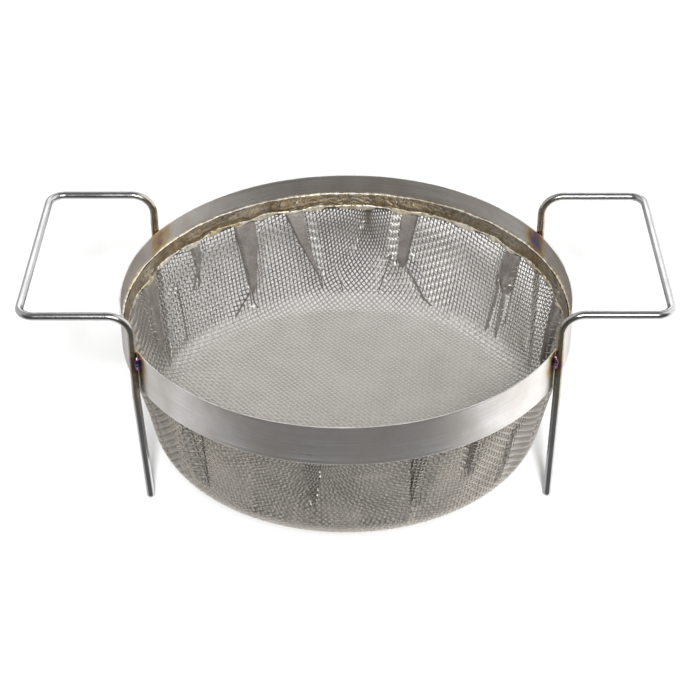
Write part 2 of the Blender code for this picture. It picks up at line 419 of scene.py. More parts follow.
def makeStripMetal():
    material, tree, shader, place = startMaterial("strip metal", 0.9)
    cloud = smudgesAt(tree, place, 0.014)["Mask"]
    fine = smudgesAt(tree, place, 0.0035)
    steel = mixColor(tree, cloud, (0.165, 0.143, 0.12), (0.31, 0.27, 0.225))
    steel = partly(tree, fine["Mask"], 0.6, steel, (0.38, 0.34, 0.28))
    steel = partly(tree, fine["Specks"], 0.8, steel, (0.13, 0.10, 0.08))
    rough = remap(tree, fine["Mask"], 0, 1, 0.30, 0.55)
    finishLook(tree, shader, heated(tree, place, steel, 0.006), rough, fine["Mask"], 0.0006, 0.8)
    return material


def makeFusedMetal(name, dark, light, roughness, patchSize, metallic=1.0):
    material, tree, shader, place = startMaterial(name, metallic)
    cloud = smudgesAt(tree, place, patchSize)
    steel = mixColor(tree, cloud["Mask"], dark, light)
    steel = partly(tree, cloud["Specks"], 0.5, steel, (0.20, 0.16, 0.11))
    rough = remap(tree, cloud["Mask"], 0, 1, *roughness)
    finishLook(tree, shader, heated(tree, place, steel, 0.004), rough, cloud["Mask"], 0.0003, 0.5)
    return material


bandSteel = makeBandSteel()
rodSteel = makeRodSteel()
wireSteel = makeWireSteel()
crushedClothShade = makeCrushedClothShade()
stripMetal = makeStripMetal()
upperBeadMetal = makeFusedMetal(
    "upper bead metal", (0.50, 0.44, 0.35), (0.90, 0.87, 0.80), (0.22, 0.34), 0.004, 0.75)
lowerBeadMetal = makeFusedMetal(
    "lower bead metal", (0.40, 0.355, 0.29), (0.84, 0.80, 0.72), (0.25, 0.42), 0.006, 0.75)
seamMetal = makeFusedMetal("seam metal", (0.40, 0.38, 0.36), (0.55, 0.54, 0.52), (0.30, 0.42), 0.004)
weldMetal = makeFusedMetal("weld metal", (0.55, 0.50, 0.55), (0.70, 0.66, 0.68), (0.16, 0.26), 0.003)
print("materials ready")


post = {
    "rodRadius": 0.003,
    "leftTurn": 28.8,        # degrees from -X to each left post
    "rightTurn": 28.1,       # degrees from +X to each right post
    "leftToeIn": 0.0049,     # how far a left foot stands inside its post
    "rightToeIn": 0.0018,
    "weldHeight": 0.1275,
}
post["ring"] = hoopRadius + post["rodRadius"] + 0.0003


def postPlace(side, end):
    # side is -1 left or 1 right, end is -1 front or 1 back
    turn = math.radians(post["leftTurn"] if side < 0 else post["rightTurn"])
    return side * post["ring"] * math.cos(turn), end * post["ring"] * math.sin(turn)


def weldHeat(points, reach, strengths):
    # Heat at a point: the highest strength * (1 - distance / reach) of any weld, never below 0
    heat = np.zeros(points.shape[:-1])
    for (side, end), strength in strengths.items():
        x, y = postPlace(side, end)
        onHoop = hoopRadius / post["ring"]
        center = np.array([x * onHoop, y * onHoop, post["weldHeight"]])
        away = np.linalg.norm(points - center, axis=-1)
        heat = np.maximum(heat, strength * np.clip(1 - away / reach, 0, 1))
    return heat


hoop = {
    "sheet": 0.001,
    "edge": 0.0002,
    "angleSteps": 480,
    "outOfRound": 0.00012,
    "lineAboveBottom": 0.0026,   # a faint pressed line near the lower edge
    "lineWidth": 0.0004,
    "lineDepth": 0.00012,
    "heatReach": 0.018,
    "seamTurn": 184,
}


def makeHoop():
    # An upright rounded bar carried round a circle whose radius varies by a slow ripple
    half = (rimTop - bandBottom) / 2
    outX, outZ = roundedBar(hoop["sheet"] / 2, half, hoop["edge"], 26)
    angles = turns(hoop["angleSteps"])
    radii = hoopRadius - hoop["sheet"] / 2 + outX[None, :]
    radii = radii + hoop["outOfRound"] * (ripple(angles, 3, 2, 9)[:, None] - 1.5)
    heights = (rimTop + bandBottom) / 2 + outZ[None, :]
    dip = np.exp(-((heights - bandBottom - hoop["lineAboveBottom"]) / hoop["lineWidth"]) ** 2)
    radii = radii - hoop["lineDepth"] * dip * (outX[None, :] > 0)
    grid = hoopGrid(angles, radii, heights)
    heat = weldHeat(grid, hoop["heatReach"], {(-1, -1): 0.90, (1, -1): 0.80, (-1, 1): 0.55, (1, 1): 0.85})
    around = np.linspace(0, fullTurn, hoop["angleSteps"] + 1) * hoopRadius
    finish = bandSteel, "rim_band", "rim_band"
    addGrid("hoop", grid, True, around, outlineLengths(outX, outZ), finish, heat)


def makeSeamBead():
    # A thin upright oval bead whose width ripples along its length
    turn = math.radians(hoop["seamTurn"])
    along = np.linspace(0, 1, 90)
    around = turns(14)
    height = bandBottom + 0.0002 + along * (rimTop - bandBottom - 0.0004)
    taper = np.sqrt(np.clip(1 - (2 * along - 1) ** 30, 0.05, 1))
    width = 0.0011 * (1 + 0.12 * np.sin(along * 95)) * taper
    depth = 0.0009 * (1 + 0.15 * np.sin(along * 95 + 0.7)) * taper
    radius = hoopRadius - hoop["sheet"] / 2 + depth[:, None] * np.cos(around)[None, :]
    angle = turn + width[:, None] * np.sin(around)[None, :] / hoopRadius
    grid = roundAxis(radius, angle, np.broadcast_to(height[:, None], radius.shape))
    finish = seamMetal, "seam_weld", "rim_seam_weld"
    addGrid("seam_bead", grid, False, height, np.linspace(0, 0.006, 15), finish, np.full(radius.shape, 0.12))


makeHoop()
makeSeamBead()
print("hoop ready")


# The cloth is one flat square weave pressed over the bowl. No wire gets longer or shorter, but the crossings
# close up like scissors between the two wire directions. Lengths are metres and azimuths degrees from +X.
cloth = {
    "pitch": 0.0035,
    "wire": 0.00115,
    "weaveTurn": 39.0,           # azimuth of one family of wires
    "stepsPerPitch": 4,
    "sides": 5,
    "piecesPerFamily": 4,
    "spacingJitter": 0.00005,
    "underside": clothLow[2],
    "footRadius": 0.154,         # where the wall would meet the floor without its bend
    "neckRadius": 0.1725,
    "cornerRadius": 0.014,
    "ringRadius": 0.151,         # where the cloth starts to close up, halfway round the bend
    "hemTop": 0.1158,
    "layerGap": 0.0020,          # from one layer to the next in a pleat
    "pressedGap": 0.0012,        # the same under the strip
    "liftRun": 0.012,            # how far the cloth takes to come down again beside a pleat
    "footRise": 0.012,           # how far up a pleat takes to reach its full height
    "foldTurn": 0.0016,          # how far a layer takes to turn over at an edge
    "pleatMargin": 0.002,
    "warpBend": 0.3,             # how far the wires of each family bend, in wire thicknesses
    "weftBend": 0.4,
    "sag": 0.0007,
    "waves": 0.00045,
    "sheetCover": 0.0015,        # crushed cloth in front of the top layer's middle
    "sheetBack": 0.0006,
}

# Each pleat: heights, azimuth of its fold edge, azimuth of the edge where the layers behind end
pleats = {
    "narrow": ((0.085, 0.107), (139.4, 140.2), (139.0, 137.2)),
    "wedge": ((0.040, 0.0433, 0.080, 0.1028), (121.6, 122.3, 123.3, 124.2), (121.3, 120.9, 118.7, 118.0)),
    "slanting": ((0.044, 0.047, 0.078, 0.107), (99.3, 99.7, 104.9, 108.6), (99.0, 99.2, 102.2, 103.1)),
    "curved": ((0.055, 0.062, 0.080, 0.1045), (72.6, 71.6, 70.6, 69.2), (73.0, 74.2, 74.2, 73.6)),
    "wide": ((0.066, 0.076, 0.090, 0.104), (35.0, 34.2, 33.6, 33.4), (36.0, 37.6, 38.3, 38.2)),
    "rightEnd": ((0.045, 0.060, 0.104), (4.0, 4.4, 6.0), (4.5, 6.2, 10.5)),
    "leftEnd": ((0.045, 0.060, 0.104), (166.0, 165.4, 164.0), (165.5, 163.4, 159.5)),
    "leftSide": ((0.040, 0.060, 0.104), (196.5, 196.0, 195.0), (196.0, 194.0, 190.5)),
    "frontLeft": ((0.036, 0.055, 0.104), (229.5, 230.5, 233.0), (229.0, 228.6, 228.0)),
    "frontMiddle": ((0.046, 0.060, 0.104), (261.4, 262.6, 264.4), (261.0, 260.6, 259.2)),
    "frontRight": ((0.046, 0.060, 0.104), (287.6, 287.0, 286.0), (288.0, 288.8, 290.8)),
    "frontNarrow": ((0.060, 0.070, 0.104), (304.4, 305.0, 306.0), (304.0, 303.8, 303.0)),
    "rightSide": ((0.040, 0.060, 0.104), (331.5, 331.0, 329.5), (332.0, 333.0, 334.0)),
}

# Each soft crease: heights, azimuths, height of the ridge, half width; a minus sign makes a groove
creases = (
    ((0.0275, 0.038, 0.044), (129.2, 125.0, 122.6), 0.0024, 0.0030),
    ((0.0275, 0.033, 0.044), (120.6, 121.6, 122.0), 0.0022, 0.0014),
    ((0.066, 0.094), (89.2, 85.8), 0.0026, 0.0040), ((0.031, 0.056), (91.5, 94.5), 0.0026, 0.0034),
    ((0.031, 0.064), (79.8, 76.8), 0.0024, 0.0036), ((0.031, 0.050), (98.0, 98.9), 0.0016, 0.0022),
    ((0.0275, 0.033, 0.058), (61.3, 64.8, 71.6), 0.0024, 0.0018),
    ((0.055, 0.066), (66.8, 70.0), -0.0016, 0.0024),
    ((0.0275, 0.040, 0.080), (39.4, 39.0, 38.2), 0.0022, 0.0016),
    ((0.0275, 0.045, 0.080), (34.6, 35.2, 35.6), 0.0022, 0.0016),
    ((0.043, 0.070, 0.088), (34.0, 33.7, 33.5), -0.0020, 0.0018),
    ((0.069, 0.088), (140.5, 138.4), 0.0020, 0.0014), ((0.069, 0.086), (143.0, 139.2), 0.0018, 0.0022),
    ((0.035, 0.080), (151.0, 149.5), 0.0022, 0.0060), ((0.035, 0.080), (219.0, 221.5), -0.0022, 0.0030),
    ((0.035, 0.090), (223.5, 225.0), -0.0020, 0.0024), ((0.030, 0.046), (262.0, 261.2), -0.0020, 0.0022),
    ((0.030, 0.046), (286.4, 287.8), -0.0020, 0.0022), ((0.035, 0.085), (245.0, 247.0), 0.0016, 0.0070),
    ((0.035, 0.085), (275.0, 274.0), 0.0018, 0.0080), ((0.035, 0.085), (316.0, 318.0), -0.0020, 0.0040),
    ((0.040, 0.085), (20.0, 21.0), 0.0018, 0.0060), ((0.035, 0.090), (352.0, 350.0), 0.0020, 0.0050),
    ((0.035, 0.090), (178.0, 180.0), 0.0020, 0.0060), ((0.035, 0.090), (208.0, 207.0), 0.0018, 0.0060),
)


def bowlProfile():
    # Middle surface of the cloth from the axis outwards: flat floor, round bend, leaning wall, upright hem
    half = cloth["wire"]
    slope = math.atan2(cloth["neckRadius"] - cloth["footRadius"], bandBottom - cloth["underside"])
    turn = math.pi / 2 - slope
    centerRadius = cloth["footRadius"] - cloth["cornerRadius"] * math.tan(turn / 2)
    centerHeight = cloth["underside"] + cloth["cornerRadius"]
    bend = cloth["cornerRadius"] - half
    angle = np.linspace(-math.pi / 2, -slope, 60)
    radius = [np.linspace(0, centerRadius, 200)[:-1], centerRadius + bend * np.cos(angle)]
    height = [np.full(199, cloth["underside"] + half), centerHeight + bend * np.sin(angle)]
    hemRadius = clothHigh[1] - half
    neckRadius = cloth["neckRadius"] - half / math.cos(slope)
    radius.append(np.array([neckRadius - 0.004 * math.tan(slope), hemRadius, hemRadius]))
    height.append(np.array([bandBottom - 0.004, bandBottom + 0.004, cloth["hemTop"]]))
    radius, height = np.concatenate(radius), np.concatenate(height)
    along = outlineLengths(radius, height, closed=False)
    even = np.arange(0, along[-1], 0.0002)
    radius, height = np.interp(even, along, radius), np.interp(even, along, height)
    kernel = np.hanning(17) / np.hanning(17).sum()
    for values in (radius, height):
        values[8:-8] = np.convolve(values, kernel, mode="valid")
    even = outlineLengths(radius, height, closed=False)
    run, rise = np.gradient(radius, even), np.gradient(height, even)
    return even, radius, height, -rise, run, math.sin(slope)


alongTable, radiusTable, heightTable, inwardRadial, inwardUp, wallLean = bowlProfile()
clothEdge = alongTable[-1]


def flatToBowl(x, y):
    # Inside the ring a cloth point keeps its place on the floor. Outside it, with the wall rolled out flat,
    # the place is U(|x|) + W(|y|): along a wire of one family the other family's wires all point the same
    # way, the one they have where they cross the ring, asin(x / ring) or acos(y / ring), times spread.
    ring = cloth["ringRadius"]
    spread = 1 - wallLean
    less, more = 1 - spread, 1 + spread
    farX, farY = np.abs(x), np.abs(y)
    turnX = np.arcsin(np.clip(farX / ring, 0, 1))
    turnY = np.arccos(np.clip(farY / ring, 0, 1))
    pastX, pastY = np.clip(farX - ring, 0, None), np.clip(farY - ring, 0, None)
    across = ring / 2 * (np.sin(less * turnX) / less + np.sin(more * turnX) / more)
    across += ring / 2 * (np.sin(less * turnY) / less - np.sin(more * turnY) / more)
    across += pastX * math.cos(spread * math.pi / 2)
    up = ring / 2 * ((1 - np.cos(more * turnX)) / more - (1 - np.cos(less * turnX)) / less)
    up -= ring / 2 * ((1 - np.cos(more * turnY)) / more + (1 - np.cos(less * turnY)) / less)
    up += pastX * math.sin(spread * math.pi / 2) + pastY
    apex = ring / less
    onFloor = x * x + y * y < ring * ring
    turn = np.where(onFloor, np.arctan2(farX, farY), np.arctan2(across, up + apex) / less)
    along = np.where(onFloor, np.hypot(x, y), ring + np.hypot(across, up + apex) - apex)
    start = math.radians(cloth["weaveTurn"])
    sideways, ahead = np.sin(turn) * np.sign(x), np.cos(turn) * np.where(y < 0, -1, 1)
    eastward = sideways * math.cos(start) - ahead * math.sin(start)
    northward = sideways * math.sin(start) + ahead * math.cos(start)
    return along, np.arctan2(northward, eastward)


wallRadius = hoopRadius * 0.96      # for lengths round the wall


def pleatPlace(pleat, azimuth, height):
    # Distance past the fold edge, positive over the layers behind, and the width of the pleat at this height
    heights, fold, back = pleat
    side = 1 if fold[-1] > back[-1] else -1
    edge = np.radians(np.interp(height, heights, fold))
    width = np.abs(edge - np.radians(np.interp(height, heights, back))) * wallRadius
    away = side * signedTurn(edge - azimuth) * wallRadius
    return away, width, smoothStep((height - heights[0]) / cloth["footRise"])


def layerGap(height):
    pressed = smoothStep((height - 0.090) / 0.016)
    return cloth["layerGap"] + (cloth["pressedGap"] - cloth["layerGap"]) * pressed


def clothLift(azimuth, height):
    # How far the top layer stands in from the bowl: up two layers at each fold edge, level over the pleat,
    # then down again; plus a ridge along each crease with one steep and one slow side, and slow waves
    lift = np.zeros_like(azimuth)
    for pleat in pleats.values():
        past, width, grow = pleatPlace(pleat, azimuth, height)
        rise = smoothStep(past / cloth["foldTurn"] + 0.5)
        fall = 1 - smoothStep((past - width) / cloth["liftRun"])
        lift = np.maximum(lift, 2 * layerGap(height) * grow * rise * fall)
    pressed = smoothStep((height - 0.092) / 0.014)
    for heights, azimuths, ridge, halfWidth in creases:
        line = np.radians(np.interp(height, heights, azimuths))
        away = signedTurn(azimuth - line) * hoopRadius * 0.95
        ends = smoothStep((height - heights[0] + 0.006) / 0.008)
        ends = ends * smoothStep((heights[-1] + 0.006 - height) / 0.010)
        slow = np.where(away > 0, halfWidth * 2.2, halfWidth * 0.5)
        lift = lift + ridge * np.exp(-(away / slow) ** 2) * ends * (1 - 0.8 * pressed)
    wall = smoothStep((height - 0.022) / 0.03) * (1 - pressed)
    return lift + cloth["waves"] * wall * ripple(azimuth, 11, 5, 30) * np.sin(height * 95)


def offBowl(along, lift):
    # Radius and height of the place at a running length, lifted inwards off the cloth's middle surface
    r = np.interp(along, alongTable, radiusTable) + lift * np.interp(along, alongTable, inwardRadial)
    z = np.interp(along, alongTable, heightTable) + lift * np.interp(along, alongTable, inwardUp)
    return r, z


def clothPoints(x, y, raised):
    # Carries flat cloth points onto the bowl and lifts them inwards by raised(azimuth, height)
    along, azimuth = flatToBowl(x, y)
    lift = raised(azimuth, np.interp(along, alongTable, heightTable))
    sag = (1 - smoothStep(along / 0.14)) * (1 + 0.3 * np.sin(x * 60 + 1) * np.sin(y * 50))
    r, z = offBowl(along, lift - cloth["sag"] * sag)
    return roundAxis(r, azimuth, z)


def wireLines(seed, swap, shift=0.0):
    # One family of parallel wires on the flat cloth: offset across, sample places along, both on a grid. The
    # wires pass over and under each other as cosines, a little closer than round wires could.
    pitch, steps = cloth["pitch"], cloth["stepsPerPitch"]
    rng = np.random.default_rng(seed)
    most = int(clothEdge / pitch) + 1
    number = np.arange(-most, most + 1)
    offset = number * pitch + rng.normal(0, cloth["spacingJitter"], len(number))
    samples = np.arange(-most * steps, most * steps + 1)
    across = np.broadcast_to(offset[:, None], (len(number), len(samples)))
    ahead = np.broadcast_to(samples[None, :] * pitch / steps, across.shape)
    phase = math.pi * (samples[None, :] / steps + number[:, None])
    height = cloth["wire"] * np.cos(phase) * (-cloth["weftBend"] if swap else cloth["warpBend"])
    wire = np.broadcast_to(number[:, None] + most, across.shape)
    x, y = (ahead, across) if swap else (across, ahead)
    return wire, x + shift, y + shift, height


def joinedRuns(wire, keep):
    # Whether each kept sample joins the next and the last one on its wire; runs under 3 samples are dropped
    place = np.cumsum(np.ones(keep.shape, dtype=int), axis=1)
    started = keep & ~np.pad(keep, ((0, 0), (1, 0)))[:, :-1]
    run = np.cumsum(started.ravel()).reshape(keep.shape)
    size = np.bincount(run[keep], minlength=run.max() + 1)
    keep = keep & (size[run] > 2)
    run, place = run[keep], place[keep]
    same = run[1:] == run[:-1]
    return keep, np.append(same, False), np.insert(same, 0, False)


def wireTubes(x, y, height, hasNext, hasLast, raised):
    # A ring of points round each sample, square to the wire: c + r (side cos a + up sin a)
    near = 0.00005
    middle = clothPoints(x, y, raised)
    acrossX = clothPoints(x + near, y, raised) - clothPoints(x - near, y, raised)
    acrossY = clothPoints(x, y + near, raised) - clothPoints(x, y - near, raised)
    normal = np.cross(acrossX, acrossY)
    normal /= np.linalg.norm(normal, axis=1)[:, None]
    center = middle + normal * height[:, None]
    index = np.arange(len(x))
    ahead = center[np.where(hasNext, index + 1, index)] - center[np.where(hasLast, index - 1, index)]
    ahead /= np.linalg.norm(ahead, axis=1)[:, None]
    side = np.cross(ahead, normal)
    side /= np.linalg.norm(side, axis=1)[:, None]
    up = np.cross(side, ahead)
    sides = cloth["sides"]
    around = (turns(sides) + math.pi / 2)[None, :, None]
    ring = side[:, None, :] * np.cos(around) + up[:, None, :] * np.sin(around)
    points = center[:, None, :] + ring * cloth["wire"] / 2
    first = index[hasNext][:, None] * sides
    j = np.arange(sides)
    jNext = (j + 1) % sides
    quads = np.stack([first + j, first + jNext, first + sides + jNext, first + sides + j], -1).reshape(-1, 4)
    caps = np.concatenate([index[~hasLast][:, None] * sides + j[::-1], index[~hasNext][:, None] * sides + j])
    return points.reshape(-1, 3), quads, caps


def addWires(name, x, y, height, wire, keep, raised):
    keep, hasNext, hasLast = joinedRuns(wire, keep)
    points, quads, caps = wireTubes(x[keep], y[keep], height[keep], hasNext, hasLast, raised)
    addPiece(name, buildMesh(name, points, quads, caps), (wireSteel, "wire_cloth", "mesh_basket"))
    print(name, len(quads) * 2, "triangles")


def makeCloth():
    for swap, family in ((False, "warp_wires"), (True, "weft_wires")):
        wire, x, y, height = wireLines(21 + swap, swap)
        inside = flatToBowl(x, y)[0] < clothEdge - 0.0003
        share = np.cumsum(inside.sum(axis=1)) / inside.sum()
        owner = np.minimum((share * cloth["piecesPerFamily"]).astype(int), cloth["piecesPerFamily"] - 1)
        for k in range(cloth["piecesPerFamily"]):
            mine = owner == k
            addWires(f"{family}_{k + 1}", x[mine], y[mine], height[mine], wire[mine], inside[mine], clothLift)


def makePleatLayers():
    # The two layers folded away behind each pleat: the outer one turns in at the far edge, the middle one
    # joins it there and turns up to the top layer at the fold edge
    def nearPleat(past, width):
        return (past > -cloth["pleatMargin"]) & (past < width + cloth["pleatMargin"])

    def outerLift(azimuth, height):
        lift = np.zeros_like(azimuth)
        for pleat in pleats.values():
            past, width, grow = pleatPlace(pleat, azimuth, height)
            turned = smoothStep((past - width + cloth["foldTurn"]) / cloth["foldTurn"])
            lift = np.where(nearPleat(past, width), layerGap(height) * turned, lift)
        return lift

    def middleLift(azimuth, height):
        lift = np.full_like(azimuth, 0.001)
        for pleat in pleats.values():
            past, width, grow = pleatPlace(pleat, azimuth, height)
            turned = 1 + 0.8 * (1 - smoothStep(past / cloth["foldTurn"]))
            lift = np.where(nearPleat(past, width), layerGap(height) * turned * grow, lift)
        return lift

    for name, raised, shift in (("outer", outerLift, 0.0), ("middle", middleLift, cloth["pitch"] / 2)):
        for swap, family in ((False, "warp"), (True, "weft")):
            wire, x, y, height = wireLines(21 + swap, swap, shift)
            along, azimuth = flatToBowl(x, y)
            level = np.interp(along, alongTable, heightTable)
            inside = np.zeros(x.shape, dtype=bool)
            for pleat in pleats.values():
                past, width, grow = pleatPlace(pleat, azimuth, level)
                inside |= (past > 0.0002) & (past < width) & (width > 0.002) & (level > pleat[0][0] + 0.002)
            inside &= along < clothEdge - 0.002
            addWires(f"pleat_{name}_{family}", x, y, height, wire, inside, raised)


def addSheet(name, heights, edge, side, width):
    # The crushed cloth in one fold: a thin closed sheet over the top layer's wires, tucked behind them at the
    # strip, its dark colour partly painted shade of the layers inside. Its section is a flat loop, out along
    # the lifted cloth and back behind it, carried up the wall.
    wall = heightTable > bandBottom - 0.08
    across = np.linspace(0, 1, 22)
    front = np.arange(44) < 22
    across = np.concatenate([across, across[::-1]])
    past = -0.0005 + (width[:, None] + 0.0007) * across[None, :]
    azimuth = edge[:, None] - side * past / wallRadius
    level = np.broadcast_to(heights[:, None], azimuth.shape)
    along = np.interp(level, heightTable[wall], alongTable[wall])
    over = cloth["sheetCover"] * (1 - smoothStep((level - 0.102) / 0.0045)) - 0.00005
    r, z = offBowl(along, clothLift(azimuth, level) + np.where(front[None, :], over, -cloth["sheetBack"]))
    finish = crushedClothShade, "wire_cloth", "mesh_basket"
    addGrid(name, roundAxis(r, azimuth, z), False, heights, np.linspace(0, 0.02, 45), finish)


def makeSheets():
    # One sheet for each pleat, as wide as the pleat, and a narrow dark one along each sharp crease as painted
    # shade in the crease
    for name, pleat in pleats.items():
        heights = np.linspace(pleat[0][0] + 0.001, 0.1152, 74)
        fold, back = np.interp(heights, pleat[0], pleat[1]), np.interp(heights, pleat[0], pleat[2])
        width = np.radians(np.abs(fold - back)) * wallRadius
        addSheet("pleat_" + name, heights, np.radians(fold), 1 if fold[-1] > back[-1] else -1, width)
    for number, (levels, azimuths, ridge, halfWidth) in enumerate(creases):
        # narrow dark strips along the sharp ridges: painted shade in the creases
        if ridge > 0 and halfWidth < 0.0037:
            heights = np.linspace(levels[0], levels[-1] + 0.002, 40)
            width = 0.0009 * np.sqrt(np.sin(np.linspace(0.1, math.pi - 0.1, 40))) - 0.0004
            edge = np.radians(np.interp(heights, levels, azimuths))
            addSheet(f"crease_shade_{number + 1}", heights, edge, 1, width)


makeCloth()
makePleatLayers()
makeSheets()
print("cloth ready")


def hemBulge(angles):
    # How far the pleats push the hem inwards at each angle, smoothed with the same window round the hoop
    bulge = clothLift(angles, np.full_like(angles, 0.112))
    reach = 9
    wide = np.concatenate([bulge[-reach:], bulge, bulge[:reach]])
    kernel = np.hanning(2 * reach + 1) / np.hanning(2 * reach + 1).sum()
    return np.convolve(wide, kernel, mode="valid")


edging = {
    "angleSteps": 900,
    "stripSheet": 0.0009,
    "stripWave": 0.0005,
    "upperBead": 0.0008,
    "lowerBead": 0.0011,
    "lumpSize": 0.0022,
}
edgeAngles = turns(edging["angleSteps"])
edgeBulge = hemBulge(edgeAngles)
edgeAround = np.linspace(0, fullTurn, edging["angleSteps"] + 1) * hoopRadius


def edgeRipple(seed, lowest, highest, count=12):
    return ripple(edgeAngles, seed, lowest, highest, count)[:, None]


def addEdging(name, radii, heights, places, finish, heat):
    heat = np.broadcast_to(heat, (len(edgeAngles), radii.shape[1]))
    addGrid(name, hoopGrid(edgeAngles, radii, heights), True, edgeAround, places, finish, heat)


def makeStrip():
    # A thin bar leaning from the hoop at its top edge to the cloth's pleats at its lower edge, finely dented
    height = stripHigh[2] - stripLow[2]
    outX, outZ = roundedBar(edging["stripSheet"] / 2, height / 2, 0.0003, 16)
    level = (outZ / height + 0.5)[None, :]                 # 0 at the lower edge, 1 at the top
    lean = smoothStep(level * 1.6 - 0.6)
    inner = stripHigh[1] - edging["stripSheet"] / 2 - 0.0002
    radii = inner - edgeBulge[:, None] * (1 - lean) + 0.0012 * lean + outX[None, :]
    dents = edgeRipple(5, 60, 170, 20) * np.sin(level * 21 + 6 * edgeRipple(6, 9, 40))
    radii = radii - edging["stripWave"] * dents * (outX[None, :] < 0) * (1 - lean)
    heights = stripLow[2] + level * height + 0.0006 * edgeRipple(7, 11, 60) * (1 - level)
    strengths = {(1, 1): 0.3, (-1, 1): 0.2, (1, -1): 0.2, (-1, -1): 0.2}
    heat = np.clip(0.10 + 0.10 * edgeRipple(8, 2, 12) + 0.08 * (1 - level), 0.02, 0.34)
    heat = heat + weldHeat(hoopGrid(edgeAngles, radii, heights), 0.03, strengths)
    finish = stripMetal, "clamp_strip", "clamp_strip"
    addEdging("retaining_strip", radii, heights, outlineLengths(outX, outZ), finish, heat)


def makeUpperBead():
    # A thin round bead along the strip's top, its thickness and height rippling
    around = turns(10)[None, :]
    thick = 1 + 0.22 * edgeRipple(31, 60, 200, 20) + 0.18 * edgeRipple(32, 8, 30)
    thick = np.clip(edging["upperBead"] * thick, 0.0005, 0.0016)
    radii = bandHigh[1] - hoop["sheet"] - 0.0006 - thick * np.cos(around)
    heights = stripHigh[2] + 0.0002 + 0.0003 * edgeRipple(33, 10, 50) + thick * np.sin(around)
    heat = np.clip(0.05 + 0.05 * edgeRipple(34, 5, 30), 0, 0.2)
    finish = upperBeadMetal, "upper_bead", "upper_bead"
    addEdging("upper_seam", radii, heights, np.linspace(0, 0.005, 11), finish, heat)


def makeLowerBead():
    # A lumpy oval bead along the strip's lower edge: lumps stand where a slow ripple is high
    around = turns(16)[None, :]
    quick = edgeRipple(42, 90, 220, 20)
    lump = smoothStep(0.5 + 0.55 * edgeRipple(41, 14, 46, 16))
    tall = edging["lowerBead"] * (0.7 + 0.125 * quick) + edging["lumpSize"] * lump
    deep = edging["lowerBead"] * (0.75 + 0.12 * quick) + 0.0004 * lump
    tall, deep = np.clip(tall, 0.0005, 0.003), np.clip(deep, 0.0005, 0.0018)
    inner = stripHigh[1] - edging["stripSheet"] / 2
    radii = inner - edgeBulge[:, None] - 0.0002 - deep * np.cos(around)
    level = stripLow[2] + 0.0003 - 0.0012 * lump + 0.0005 * edgeRipple(43, 6, 24)
    heat = np.clip(0.06 + 0.08 * edgeRipple(44, 3, 20), 0, 0.28)
    finish = lowerBeadMetal, "lower_bead", "lower_bead"
    places = np.linspace(0, 0.007, 17)
    addEdging("lower_bead_fill", radii, level + tall * np.sin(around), places, finish, heat)


makeStrip()
makeUpperBead()
makeLowerBead()
print("edging ready")


rod = {
    "postBend": 0.017,
    "cornerBend": 0.012,
    "kneeBelowBand": 0.006,
    "sides": 28,
    "stepLength": 0.0012,
    "chamfer": 0.0005,
}


def roundedPath(corners, bends):
    # Straight runs joined by arcs: each corner is replaced by points on a circle that touches both runs
    corners = np.array(corners, dtype=float)
    pieces = [corners[:1]]
    for before, corner, after, bend in zip(corners, corners[1:], corners[2:], bends):
        back, ahead = before - corner, after - corner
        back, ahead = back / np.linalg.norm(back), ahead / np.linalg.norm(ahead)
        half = math.acos(np.clip(back @ ahead, -1, 1)) / 2
        middle = corner + (back + ahead) / np.linalg.norm(back + ahead) * bend / math.sin(half)
        first = corner + back * bend / math.tan(half) - middle
        last = corner + ahead * bend / math.tan(half) - middle
        sweep = math.pi - 2 * half
        steps = np.linspace(0, sweep, max(6, int(bend * sweep / 0.0009)))[:, None]
        pieces.append(middle + (first * np.sin(sweep - steps) + last * np.sin(steps)) / math.sin(sweep))
    pieces.append(corners[-1:])
    return np.concatenate(pieces)


def evenPath(path, step):
    # Resamples a path at even lengths, keeping every bend point
    length = np.concatenate([[0], np.cumsum(np.linalg.norm(np.diff(path, axis=0), axis=1))])
    places = np.unique(np.concatenate([length, np.arange(0, length[-1], step)]))
    places = places[np.insert(np.diff(places) > 2e-5, 0, True)]
    return places, np.stack([np.interp(places, length, path[:, k]) for k in range(3)], -1)


def carriedFrames(path):
    # Direction at each point, and two vectors square to it, the first one also square to a slanting line
    ahead = np.gradient(path, axis=0)
    ahead /= np.linalg.norm(ahead, axis=1)[:, None]
    side = np.cross(ahead, (1, 1, 1))
    side /= np.linalg.norm(side, axis=1)[:, None]
    return ahead, side, np.cross(ahead, side)


def makeRod(name, side, toeIn, node, handleHeight, reach):
    # A round section carried up the front leg, round the handle loop and down the back leg
    x, y = postPlace(side, 1)
    knee = bandBottom - rod["kneeBelowBand"]
    front = [(x - side * toeIn, -y, 0), (x, -y, knee), (x, -y, handleHeight), (reach, -y, handleHeight)]
    corners = front + [(a, -b, c) for a, b, c in reversed(front)]
    bends = [0.03, rod["postBend"], rod["cornerBend"]]
    places, path = evenPath(roundedPath(corners, bends + bends[::-1]), rod["stepLength"])
    ahead, across, up = carriedFrames(path)
    fromEnd = np.minimum(places, places[-1] - places)
    radius = post["rodRadius"] - np.clip(rod["chamfer"] - fromEnd, 0, None)
    around = turns(rod["sides"])[None, :, None]
    ring = across[:, None, :] * np.cos(around) + up[:, None, :] * np.sin(around)
    grid = path[:, None, :] + ring * radius[:, None, None]
    grid[..., 2] = np.maximum(grid[..., 2], 0)
    strong = weldHeat(grid, 0.016, {(side, -1): 0.80, (side, 1): 0.72})
    straw = weldHeat(grid, 0.050, {(side, -1): 0.30, (side, 1): 0.42})
    section = np.linspace(0, fullTurn * post["rodRadius"], rod["sides"] + 1)
    addGrid(name, grid, False, places, section, (rodSteel, "rod_steel", node), np.maximum(strong, straw))


